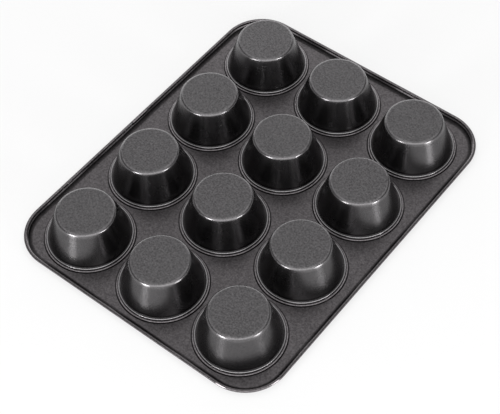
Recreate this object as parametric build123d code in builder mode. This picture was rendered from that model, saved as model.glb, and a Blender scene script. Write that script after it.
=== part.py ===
from build123d import *

import math
import os

# Twelve-cup muffin tin, upside down: it lies on the face that is its top in use, and the flat
# bottoms of its cups point up. Millimetres, +Z up. X is the short direction (3 cups), Y the long
# one (4 cups). The origin is the middle of the face that the tin lies on.

# ---- driving dimensions: the grid and the cups ----
COLUMNS = 3
ROWS = 4
TIN_HEIGHT = 34.2            # deck face to cup bottoms
CUP_SHEET = 0.6              # thickness of a cup's sheet
CUP_ROOT_R = 35.2            # outside radius of a cup where it leaves the deck
CUP_BASE_R = 24.85           # outside radius of the wall, carried up to the bottom's level
CUP_BASE_BEND = 2.6          # inside radius of the bend round the bottom
LOCK_REACH = 1.6             # how far the rolled lock bead stands out from the root
LOCK_FOLD = 0.15             # inside radius of the fold in the lock bead
FLANGE_REACH = 2.3           # how far the flange under the seat stands out from the root
HEM_WIDTH = 1.5              # width of the hem, the flange's edge folded back over it
TIGHT_BEND = 0.15            # inside radius of the cup's sharp bends
FOOT_BEND = 0.3              # inside radius of the bend from the lock bead into the wall

# ---- driving dimensions: the frame sheet ----
FRAME_SHEET = 0.6            # thickness of the deck's sheet
FIT_GAP = 0.05               # clearance beside a crimped or rolled fit
SEAT_MARGIN = 0.6            # from the flange out to the edge of the raised seat
SEAT_STEP_RUN = 0.35         # horizontal run of the step from the seat down to the deck
SEAT_STEP_BEND = 0.15        # inside radius of the step's two bends
SEAT_SKIRT = 0.75            # flat ring of deck beyond the step
WEB = 1.6                    # deck between two neighbouring skirts, at its narrowest
MARGIN_X = 12.8              # skirt to outer edge, along X
MARGIN_Y = 8.8               # skirt to outer edge, along Y
CORNER_R = 38.0              # radius of the tin's corners, outside

# ---- driving dimensions: the rolled rim ----
BEAD_R = 1.5                 # outside radius of the rolled edge
BEAD_CENTRE_Z = 4.4
FLARE_ANGLE = 40.0           # slope of the edge wall, from the deck
FLARE_BEND = 3.7             # inside radius of the bend from deck to edge wall
CURL_TURN = 255.0            # how far the curl goes round, degrees
TAB_LENGTH = 18.0            # the tab pressed over the joint of the wire
NOTCH_WIDTH = 3.0            # relief notch at each end of the tab
TAB_SLACK = 0.6              # how much further in the tab's curl reaches
WIRE_JOINT_GAP = 0.8         # between the two ends of the wire

# ---- worked out: the cup's section ----
flange_r = CUP_ROOT_R + FLANGE_REACH
flange_depth = 2 * CUP_SHEET + FIT_GAP
seat_top_z = flange_depth + FRAME_SHEET
hem_bend = (CUP_SHEET + FIT_GAP) / 2
tight_bend = TIGHT_BEND + CUP_SHEET / 2
fold_bend = LOCK_FOLD + CUP_SHEET / 2
foot_bend = FOOT_BEND + CUP_SHEET / 2
base_bend = CUP_BASE_BEND + CUP_SHEET / 2
leg_z = seat_top_z + CUP_SHEET / 2
foot_z = leg_z + CUP_SHEET + FIT_GAP

# ---- worked out: the frame's section ----
hole_r = CUP_ROOT_R + TIGHT_BEND + FIT_GAP
seat_edge_r = flange_r + SEAT_MARGIN
skirt_r = seat_edge_r + SEAT_STEP_RUN + SEAT_SKIRT
step_bend = SEAT_STEP_BEND + FRAME_SHEET / 2
pitch = 2 * skirt_r + WEB
half_x = (COLUMNS - 1) * pitch / 2 + skirt_r + MARGIN_X
half_y = (ROWS - 1) * pitch / 2 + skirt_r + MARGIN_Y

# ---- worked out: the rim's section, along the middle of its sheet ----
curl_r = BEAD_R - FRAME_SHEET / 2
flare_bend = FLARE_BEND + FRAME_SHEET / 2
flare_sin = math.sin(math.radians(FLARE_ANGLE))
flare_cos = math.cos(math.radians(FLARE_ANGLE))
flare_rise = BEAD_CENTRE_Z - curl_r * flare_cos - FRAME_SHEET / 2 - flare_bend * (1 - flare_cos)
flare_length = flare_rise / flare_sin
rim_width = BEAD_R - curl_r * flare_sin + flare_length * flare_cos + flare_bend * flare_sin
wire_channel_r = BEAD_R - FRAME_SHEET
wire_r = wire_channel_r - FIT_GAP


def cup_centre(column, row):
    """The middle of one cup's mouth, counted from the -X, -Y corner."""
    return ((column - (COLUMNS - 1) / 2) * pitch, (row - (ROWS - 1) / 2) * pitch)


def section_plane(x, y):
    """An upright plane through a cup's axis, its x along +X and its y along +Z."""
    return Plane(origin=(x, y, 0), x_dir=(1, 0, 0), z_dir=(0, -1, 0))


def fold_turn(centre, foot):
    """How far the lock bead's fold goes round before it runs straight to the foot of the wall."""
    across = foot - centre
    bearing = math.degrees(math.atan2(across.Y, across.X))
    return 90 + bearing - math.degrees(math.acos(fold_bend / across.length))


def make_cup(label, x, y):
    """One drawn cup in one sheet: hemmed flange, neck, lock bead, tapered wall and flat bottom."""
    mid = CUP_SHEET / 2
    wall_lean = (CUP_ROOT_R - CUP_BASE_R) / (TIN_HEIGHT - foot_z)
    wall_inset = mid * math.sqrt(1 + wall_lean**2)
    neck_x = CUP_ROOT_R - mid
    neck_length = leg_z - mid - 2 * tight_bend
    fold_x = CUP_ROOT_R + LOCK_REACH - mid - fold_bend
    wall_foot = Vector(CUP_ROOT_R - wall_inset, foot_z)
    base_corner = Vector(CUP_BASE_R - wall_inset + mid * wall_lean, TIN_HEIGHT - mid)
    with BuildPart() as cup:
        with BuildSketch(section_plane(x, y)):
            with BuildLine():
                hem_z = mid + 2 * hem_bend
                hem = Line((flange_r - HEM_WIDTH, hem_z), (flange_r - mid - hem_bend, hem_z))
                hem_fold = JernArc(hem @ 1, hem % 1, hem_bend, -180)
                flange = Line(hem_fold @ 1, (neck_x + tight_bend, mid))
                mouth_bend = JernArc(flange @ 1, flange % 1, tight_bend, -90)
                neck = PolarLine(mouth_bend @ 1, neck_length, 90)
                seat_bend = JernArc(neck @ 1, neck % 1, tight_bend, -90)
                leg = Line(seat_bend @ 1, (fold_x, leg_z))
                turn = fold_turn(Vector(fold_x, leg_z + fold_bend), wall_foot)
                fold = JernArc(leg @ 1, leg % 1, fold_bend, turn)
                FilletPolyline(
                    fold @ 1, wall_foot, base_corner, (0, TIN_HEIGHT - mid),
                    radius=(foot_bend, base_bend),
                )
            trace(line_width=CUP_SHEET)
        revolve(axis=Axis((x, y, 0), (0, 0, 1)))
    cup.part.label = label
    return cup


def rim_quarter():
    """A quarter of the tin's outline, from the middle of the +X side to the middle of the +Y side."""
    with BuildLine() as quarter:
        side = Line((half_x, 0), (half_x, half_y - CORNER_R))
        corner = JernArc(side @ 1, side % 1, CORNER_R, 90)
        Line(corner @ 1, (0, half_y))
    return quarter.line


def make_seat_ring():
    """The pressed ring round one hole: raised seat, step and skirt, to be joined to the deck."""
    low = FRAME_SHEET / 2
    high = flange_depth + FRAME_SHEET / 2
    with BuildPart() as ring:
        with BuildSketch(Plane.XZ):
            with BuildLine():
                FilletPolyline(
                    (skirt_r, low), (seat_edge_r + SEAT_STEP_RUN, low), (seat_edge_r, high),
                    (hole_r, high),
                    radius=step_bend,
                )
            trace(line_width=FRAME_SHEET)
        revolve(axis=Axis.Z)
    return ring


def make_frame_sheet():
    """The deck with its seats, its flared edge wall, and the curl with its pressed tab."""
    seat_ring = make_seat_ring()
    bead_x = half_x - BEAD_R
    with BuildPart() as frame:
        with BuildSketch(Plane.XZ) as rim_section:
            with BuildLine():
                bend = JernArc((half_x - rim_width, FRAME_SHEET / 2), (1, 0), flare_bend, FLARE_ANGLE)
                flare = PolarLine(bend @ 1, flare_length, FLARE_ANGLE)
                JernArc(flare @ 1, flare % 1, curl_r, CURL_TURN)
            trace(line_width=FRAME_SHEET)
        sweep(sections=rim_section.sketch, path=rim_quarter())
        mirror(about=Plane.XZ)
        mirror(about=Plane.YZ)
        with BuildSketch():
            RectangleRounded(
                2 * (half_x - rim_width), 2 * (half_y - rim_width), CORNER_R - rim_width,
            )
            with GridLocations(pitch, pitch, COLUMNS, ROWS):
                Circle(skirt_r, mode=Mode.SUBTRACT)
        extrude(amount=FRAME_SHEET)
        with GridLocations(pitch, pitch, COLUMNS, ROWS):
            add(seat_ring.part)
        # the inner half of the curl is cut away at the tab, and the tab is put in with more slack
        with BuildSketch(Plane.XZ):
            with Locations((-bead_x, BEAD_CENTRE_Z - wire_channel_r)):
                Rectangle(2 * BEAD_R, 3 * BEAD_R, align=(Align.MIN, Align.MIN))
        extrude(amount=TAB_LENGTH / 2 + NOTCH_WIDTH, both=True, mode=Mode.SUBTRACT)
        with BuildSketch(Plane.XZ):
            with BuildLine():
                tab_top = PolarLine((-bead_x, BEAD_CENTRE_Z + curl_r), TAB_SLACK, 0)
                JernArc(tab_top @ 1, tab_top % 1, curl_r, 90 + FLARE_ANGLE - CURL_TURN)
            trace(line_width=FRAME_SHEET)
        extrude(amount=TAB_LENGTH / 2, both=True)
    frame.part.label = "frame_sheet"
    return frame


def make_rim_wire():
    """The wire inside the curl: one ring, with a small gap where its ends meet under the tab."""
    with BuildPart() as wire:
        with BuildSketch(Plane.XZ) as wire_section:
            with Locations((half_x - BEAD_R, BEAD_CENTRE_Z)):
                Circle(wire_r)
        sweep(sections=wire_section.sketch, path=rim_quarter())
        mirror(about=Plane.XZ)
        mirror(about=Plane.YZ)
        with Locations((BEAD_R - half_x, 0, BEAD_CENTRE_Z)):
            Box(2 * BEAD_R, WIRE_JOINT_GAP, 2 * BEAD_R, mode=Mode.SUBTRACT)
    wire.part.label = "rim_wire"
    return wire


os.makedirs("parts", exist_ok=True)
export_step(make_frame_sheet().part, "parts/frame_sheet.step")
export_step(make_rim_wire().part, "parts/rim_wire.step")
for row in range(ROWS):
    for column in range(COLUMNS):
        name = f"cup_{row * COLUMNS + column + 1:02d}"
        cup_x, cup_y = cup_centre(column, row)
        export_step(make_cup(name, cup_x, cup_y).part, f"parts/{name}.step")
print(f"overall {2 * half_x:.2f} x {2 * half_y:.2f} x {TIN_HEIGHT:.2f} mm, cup pitch {pitch:.2f} mm")
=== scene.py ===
import math

import bpy
from mathutils import Matrix, Vector


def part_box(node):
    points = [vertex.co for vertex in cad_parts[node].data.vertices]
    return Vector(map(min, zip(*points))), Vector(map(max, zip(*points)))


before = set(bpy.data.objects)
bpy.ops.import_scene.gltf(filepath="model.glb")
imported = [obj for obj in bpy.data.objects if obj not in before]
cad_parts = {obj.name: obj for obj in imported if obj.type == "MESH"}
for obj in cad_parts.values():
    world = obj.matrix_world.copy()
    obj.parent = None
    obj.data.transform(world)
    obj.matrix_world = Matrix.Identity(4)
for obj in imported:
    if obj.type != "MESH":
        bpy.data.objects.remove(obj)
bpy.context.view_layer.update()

# ---- camera: where it stands, round the point that it looks at ----
CAMERA_AZIMUTH = 40.65       # degrees from -Y towards +X
CAMERA_ELEVATION = 53.23     # degrees
CAMERA_DISTANCE = 1.1338     # metres
CAMERA_TARGET = Vector((0.0084, -0.0166, 0.0))
CAMERA_ROLL = -2.98          # degrees
LENS_MM = 96.5
SENSOR_MM = 36.0
CLIP_START = 0.01

# ---- finish of the metal: base colours and roughness ----
FRAME_GREY = (0.100, 0.093, 0.0965)
FRAME_ROUGHNESS = 0.31
CUP_GREY = (0.102, 0.0985, 0.101)
CUP_ROUGHNESS = 0.27
WIRE_GREY = (0.32, 0.32, 0.33)
WIRE_TONE = (0.8, 1.15)
WIRE_NOISE = (5.0, 0.7)      # detail and roughness of the noise
WIRE_ROUGHNESS = (0.3, 0.5)

# ---- grain and mottle of the coating: sizes in metres, noise, and what each does to the coating ----
GRAIN_SIZE = 0.0015
GRAIN_NOISE = (3.0, 0.6)
GRAIN_TONE = (0.0, 2.0)
GRAIN_DEPTH = 0.00003        # height of the bump
GRAIN_RELIEF = 0.35          # strength of the bump
MOTTLE_SIZE = 0.035
MOTTLE_NOISE = (4.0, 0.55)
MOTTLE_TONE = (0.93, 1.07)
MOTTLE_SPREAD = 0.03         # how far the roughness strays either way

# ---- lines of painted light in the coating: (distance in mm, factor) pairs, painted highlights on crests and painted shade in seams ----
MM_PER_METRE = 1000
# brightness by distance from a cup's axis, on the cups and on the frame round them: painted highlights on the
# disc edge and the bead crests, painted shade at the wall foot and in the seams
CUP_PAINTED_LIGHT = (
    (0.0, 1.0), (22.6, 1.0), (23.4, 1.5), (25.6, 1.5), (26.2, 1.0), (34.3, 1.0), (34.75, 0.3), (35.1, 0.3),
    (35.6, 2.2), (36.1, 2.7), (36.65, 2.7), (36.85, 0.6), (40.0, 0.6),
)
# on the frame: painted shade under the cup's bead and at the seat step's foot, painted highlight on the seat
# ring
FRAME_PAINTED_LIGHT = (
    (0.0, 0.3), (36.95, 0.3), (37.3, 1.6), (37.6, 2.2), (38.1, 2.2), (38.3, 0.8), (38.45, 0.12), (38.9, 0.12),
    (39.2, 1.0), (60.0, 1.0),
)
# how much of the grain shows on a cup, by distance from its axis: the drawn wall is smoother
CUP_GRAIN = ((0.0, 1.0), (23.0, 1.0), (24.5, 0.35), (60.0, 0.35))
# brightness of the frame by distance in from the tin's outer edge: painted highlights along the curl, painted
# shade inside it and down the flare; then factors on its roughness
RIM_PAINTED_LIGHT = (
    (0.0, 1.9), (0.35, 1.9), (0.7, 0.8), (1.1, 0.8), (1.5, 1.5), (1.9, 1.5), (2.05, 0.9), (2.3, 2.3),
    (2.95, 2.3), (3.1, 0.12), (4.0, 0.12), (5.1, 0.25), (6.2, 0.5), (6.9, 1.0), (38.0, 1.0),
)
RIM_ROUGHNESS = ((0.0, 0.55), (3.0, 0.55), (3.4, 1.0), (38.0, 1.0))
CORNER_R = 0.038             # radius of the tin's corners, in metres

# ---- floor ----
FLOOR_SIZE = 12.0
FLOOR_DROP = 0.0002          # how far the floor is under the tin, so that the two don't share a face
FLOOR_TONE = (0.80, 0.82)
FLOOR_CLOUD_SCALE = 2.0
FLOOR_WHITE = 0.65           # share of the floor that is seen as plain white
FLOOR_POLISH = 0.12          # roughness of the polish that the tin mirrors

# ---- studio light ----
# the world: sine of the elevation and brightness, from the horizon up
STUDIO_LEVELS = ((0.15, 1.0), (0.24, 0.18), (0.60, 0.18), (0.71, 1.0))
LAMP_DISTANCE = 1.8
# name, azimuth and elevation in degrees, width and height in metres, radiance
LAMPS = (
    ("front", 41.0, 36.0, 2.6, 1.5, 1.6),
    ("left", -5.0, 11.0, 0.42, 0.68, 18.0),
    ("right", 88.0, 11.0, 0.42, 0.60, 15.0),
    ("back", -139.0, 21.0, 3.0, 1.3, 1.2),
)


def add_node(tree, kind, **inputs):
    """One shader node, with the named inputs set or linked."""
    node = tree.nodes.new(kind)
    for name, value in inputs.items():
        socket = node.inputs[name.replace("_", " ")]
        if isinstance(value, bpy.types.NodeSocket):
            tree.links.new(value, socket)
        else:
            socket.default_value = value
    return node


def new_material(name):
    """An empty node material, and its tree and output node."""
    material = bpy.data.materials.new(name)
    material.use_nodes = True
    tree = material.node_tree
    tree.nodes.clear()
    return material, tree, tree.nodes.new("ShaderNodeOutputMaterial")


def map_range(tree, value, low, high):
    """Stretches a 0 to 1 value to low to high."""
    node = add_node(tree, "ShaderNodeMapRange", Value=value)
    node.inputs["To Min"].default_value = low
    node.inputs["To Max"].default_value = high
    return node.outputs["Result"]


def vector_math(tree, operation, first, second=None):
    """One vector operation on sockets or plain vectors, and its result."""
    node = tree.nodes.new("ShaderNodeVectorMath")
    node.operation = operation
    for socket, value in zip(node.inputs, (first, second)):
        if isinstance(value, bpy.types.NodeSocket):
            tree.links.new(value, socket)
        elif value is not None:
            socket.default_value = value
    return node.outputs["Value" if operation == "LENGTH" else "Vector"]


def maths(tree, operation, first, second):
    """One operation on two sockets or plain numbers, and its result."""
    node = tree.nodes.new("ShaderNodeMath")
    node.operation = operation
    for socket, value in zip(node.inputs, (first, second)):
        if isinstance(value, bpy.types.NodeSocket):
            tree.links.new(value, socket)
        else:
            socket.default_value = value
    return node.outputs["Value"]


def radius_from_cup(tree, place):
    """How far a point is from the axis of the cup that it is nearest to, in metres."""
    low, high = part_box("cup_01")
    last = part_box("cup_12")[0] - low
    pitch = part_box("cup_02")[0].x - low.x
    offset = vector_math(tree, "SUBTRACT", place, (low + high) / 2)
    steps = vector_math(tree, "SCALE", offset)
    steps.node.inputs["Scale"].default_value = 1 / pitch
    nearest = vector_math(tree, "FLOOR", vector_math(tree, "ADD", steps, (0.5, 0.5, 0.0)))
    inside = vector_math(tree, "MINIMUM", vector_math(tree, "MAXIMUM", nearest, (0, 0, 0)), last / pitch)
    from_axis = vector_math(tree, "SUBTRACT", steps, inside)
    level = vector_math(tree, "MULTIPLY", from_axis, (pitch, pitch, 0.0))
    return vector_math(tree, "LENGTH", level)


def depth_from_edge(tree, place):
    """How far a point is inside the tin's rounded outline, in metres, counted up to the corners' radius."""
    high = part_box("frame_sheet")[1]
    corner = (high.x - CORNER_R, high.y - CORNER_R, 1.0)
    beyond = vector_math(tree, "SUBTRACT", vector_math(tree, "ABSOLUTE", place), corner)
    outward = vector_math(tree, "LENGTH", vector_math(tree, "MAXIMUM", beyond, (0, 0, 0)))
    return maths(tree, "SUBTRACT", CORNER_R, outward)


def follow_bands(tree, distance, bands):
    """A factor that follows the bands over a distance in metres."""
    reach = bands[-1][0]
    strongest = max(factor for _, factor in bands)
    share = maths(tree, "MULTIPLY", distance, MM_PER_METRE / reach)
    ramp = add_node(tree, "ShaderNodeValToRGB", Fac=share)
    stops = ramp.color_ramp.elements
    for _ in range(len(bands) - 2):
        stops.new(1.0)
    for stop, (place, factor) in zip(stops, bands):
        stop.position = place / reach
        stop.color = (factor / strongest,) * 3 + (1.0,)
    return map_range(tree, ramp.outputs["Color"], 0.0, strongest)


def noise(tree, place, size, detail, roughness):
    """Noise from 0 to 1 with patches of about the given size, in metres."""
    node = add_node(
        tree, "ShaderNodeTexNoise", Vector=place, Scale=1 / size, Detail=detail, Roughness=roughness,
    )
    return node.outputs["Fac"]


def shade(tree, grey, tone):
    """A base colour times a tone that varies over the surface."""
    node = tree.nodes.new("ShaderNodeVectorMath")
    node.operation = "SCALE"
    node.inputs[0].default_value = grey
    tree.links.new(tone, node.inputs["Scale"])
    return node.outputs["Vector"]


def fade_to_one(tree, tone, share):
    """The tone where the share is 1, and plain 1 where it is 0."""
    node = tree.nodes.new("ShaderNodeMix")
    node.data_type = "FLOAT"
    tree.links.new(share, node.inputs[0])
    node.inputs[2].default_value = 1.0
    tree.links.new(tone, node.inputs[3])
    return node.outputs[0]


def coated_sheet(name, grey, roughness, painted_light_round_cups, painted_light_at_rim=None, grain_bands=None):
    """Dark non-stick coating on steel: grain, uneven gloss, and lines of painted highlights and painted shade
    round cups and rim.
    """
    material, tree, output = new_material(name)
    place = tree.nodes.new("ShaderNodeTexCoord").outputs["Object"]
    grain = noise(tree, place, GRAIN_SIZE, *GRAIN_NOISE)
    mottle = noise(tree, place, MOTTLE_SIZE, *MOTTLE_NOISE)
    radius = radius_from_cup(tree, place)
    tone_fine = map_range(tree, grain, *GRAIN_TONE)
    if grain_bands:
        tone_fine = fade_to_one(tree, tone_fine, follow_bands(tree, radius, grain_bands))
    tone = maths(tree, "MULTIPLY", tone_fine, map_range(tree, mottle, *MOTTLE_TONE))
    # painted highlights on crests and disc edges and painted shade in seams, by distance from a cup's axis
    tone = maths(tree, "MULTIPLY", tone, follow_bands(tree, radius, painted_light_round_cups))
    rough = map_range(tree, mottle, roughness - MOTTLE_SPREAD, roughness + MOTTLE_SPREAD)
    if painted_light_at_rim:
        depth = depth_from_edge(tree, place)
        # painted highlights along the rim's curl and painted shade in its undercut and flare
        tone = maths(tree, "MULTIPLY", tone, follow_bands(tree, depth, painted_light_at_rim))
        rough = maths(tree, "MULTIPLY", rough, follow_bands(tree, depth, RIM_ROUGHNESS))
    bump = add_node(tree, "ShaderNodeBump", Height=grain, Strength=GRAIN_RELIEF, Distance=GRAIN_DEPTH)
    shader = add_node(
        tree, "ShaderNodeBsdfPrincipled", Base_Color=shade(tree, grey, tone), Metallic=1.0, Roughness=rough,
        Normal=bump.outputs["Normal"],
    )
    tree.links.new(shader.outputs["BSDF"], output.inputs["Surface"])
    return material


def drawn_wire(name, grey):
    """Plain steel wire with fine drawing marks."""
    material, tree, output = new_material(name)
    place = tree.nodes.new("ShaderNodeTexCoord").outputs["Object"]
    marks = noise(tree, place, GRAIN_SIZE, *WIRE_NOISE)
    tone = map_range(tree, marks, *WIRE_TONE)
    rough = map_range(tree, marks, *WIRE_ROUGHNESS)
    shader = add_node(
        tree, "ShaderNodeBsdfPrincipled", Base_Color=shade(tree, grey, tone), Metallic=1.0, Roughness=rough,
    )
    tree.links.new(shader.outputs["BSDF"], output.inputs["Surface"])
    return material


def dress(node_name, material):
    """Gives a CAD node its finish."""
    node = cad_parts[node_name]
    node.data.materials.clear()
    node.data.materials.append(material)


def seen_white(tree, plain, strength):
    """Mixes white in for camera, glossy and transmission rays. The floor's own light stays as it is."""
    path = tree.nodes.new("ShaderNodeLightPath")
    seen = maths(tree, "MAXIMUM", path.outputs["Is Camera Ray"], path.outputs["Is Glossy Ray"])
    seen = maths(tree, "MAXIMUM", seen, path.outputs["Is Transmission Ray"])
    white = add_node(tree, "ShaderNodeEmission", Strength=1.0)
    mix = tree.nodes.new("ShaderNodeMixShader")
    tree.links.new(maths(tree, "MULTIPLY", seen, strength), mix.inputs["Fac"])
    tree.links.new(plain, mix.inputs[1])
    tree.links.new(white.outputs["Emission"], mix.inputs[2])
    return mix.outputs["Shader"]


def make_floor():
    """A wide pale floor just under the tin. Its polish shows only in what the tin mirrors."""
    bpy.ops.mesh.primitive_plane_add(size=FLOOR_SIZE, location=(0, 0, -FLOOR_DROP))
    floor = bpy.context.object
    floor.name = "studio_floor"
    material, tree, output = new_material("floor_white")
    place = tree.nodes.new("ShaderNodeTexCoord").outputs["Object"]
    cloud = add_node(tree, "ShaderNodeTexNoise", Vector=place, Scale=FLOOR_CLOUD_SCALE)
    tone = map_range(tree, cloud.outputs["Fac"], *FLOOR_TONE)
    plain = add_node(tree, "ShaderNodeBsdfDiffuse", Color=tone)
    shown = seen_white(tree, plain.outputs["BSDF"], FLOOR_WHITE)
    polish = add_node(tree, "ShaderNodeBsdfGlossy", Roughness=FLOOR_POLISH)
    facing = tree.nodes.new("ShaderNodeFresnel").outputs["Fac"]
    glossy_ray = tree.nodes.new("ShaderNodeLightPath").outputs["Is Glossy Ray"]
    mix = tree.nodes.new("ShaderNodeMixShader")
    tree.links.new(maths(tree, "MULTIPLY", facing, glossy_ray), mix.inputs["Fac"])
    tree.links.new(shown, mix.inputs[1])
    tree.links.new(polish.outputs["BSDF"], mix.inputs[2])
    tree.links.new(mix.outputs["Shader"], output.inputs["Surface"])
    floor.data.materials.append(material)


def make_world():
    """The studio round the tin: white low down, dim higher up, and a soft pale ceiling."""
    world = bpy.data.worlds.new("studio")
    bpy.context.scene.world = world
    world.use_nodes = True
    tree = world.node_tree
    tree.nodes.clear()
    output = tree.nodes.new("ShaderNodeOutputWorld")
    direction = tree.nodes.new("ShaderNodeTexCoord").outputs["Generated"]
    height = add_node(tree, "ShaderNodeSeparateXYZ", Vector=direction).outputs["Z"]
    ramp = add_node(tree, "ShaderNodeValToRGB", Fac=height)
    ramp.color_ramp.interpolation = "EASE"
    stops = ramp.color_ramp.elements
    stops.new(0.5)
    stops.new(0.5)
    for stop, (position, level) in zip(stops, STUDIO_LEVELS):
        stop.position = position
        stop.color = (level, level, level, 1.0)
    light = add_node(tree, "ShaderNodeBackground", Color=ramp.outputs["Color"], Strength=1.0)
    tree.links.new(light.outputs["Background"], output.inputs["Surface"])


def softbox(name, azimuth, elevation, width, height, radiance):
    """A rectangular lamp that faces the tin, hidden from the camera. Azimuth is from -Y towards +X."""
    lamp = bpy.data.lights.new(name, "AREA")
    lamp.shape = "RECTANGLE"
    lamp.size = width
    lamp.size_y = height
    lamp.energy = radiance * math.pi * width * height
    stand = bpy.data.objects.new(name, lamp)
    bpy.context.scene.collection.objects.link(stand)
    stand.location = from_angles(azimuth, elevation) * LAMP_DISTANCE
    stand.rotation_euler = stand.location.to_track_quat("Z", "Y").to_euler()
    stand.visible_camera = False


def from_angles(azimuth, elevation):
    """The unit vector towards an azimuth, from -Y towards +X, and an elevation."""
    turn = math.radians(azimuth)
    rise = math.radians(elevation)
    return Vector((math.sin(turn) * math.cos(rise), -math.cos(turn) * math.cos(rise), math.sin(rise)))


def make_camera():
    """The camera, turned to its target and rolled about its line of sight."""
    outward = from_angles(CAMERA_AZIMUTH, CAMERA_ELEVATION)
    aim = outward.to_track_quat("Z", "Y").to_matrix().to_4x4()
    roll = Matrix.Rotation(math.radians(CAMERA_ROLL), 4, "Z")
    lens = bpy.data.cameras.new("camera")
    lens.lens = LENS_MM
    lens.sensor_width = SENSOR_MM
    lens.clip_start = CLIP_START
    camera = bpy.data.objects.new("camera", lens)
    bpy.context.scene.collection.objects.link(camera)
    camera.matrix_world = Matrix.Translation(CAMERA_TARGET + outward * CAMERA_DISTANCE) @ aim @ roll
    bpy.context.scene.camera = camera


frame_finish = coated_sheet("frame_coating", FRAME_GREY, FRAME_ROUGHNESS, FRAME_PAINTED_LIGHT, painted_light_at_rim=RIM_PAINTED_LIGHT)
cup_finish = coated_sheet("cup_coating", CUP_GREY, CUP_ROUGHNESS, CUP_PAINTED_LIGHT, grain_bands=CUP_GRAIN)
for node_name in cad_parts:
    if node_name.startswith("cup_"):
        dress(node_name, cup_finish)
dress("frame_sheet", frame_finish)
dress("rim_wire", drawn_wire("wire_steel", WIRE_GREY))

make_floor()
make_world()
for lamp_row in LAMPS:
    softbox(*lamp_row)
make_camera()
bpy.context.scene.view_settings.view_transform = "Standard"
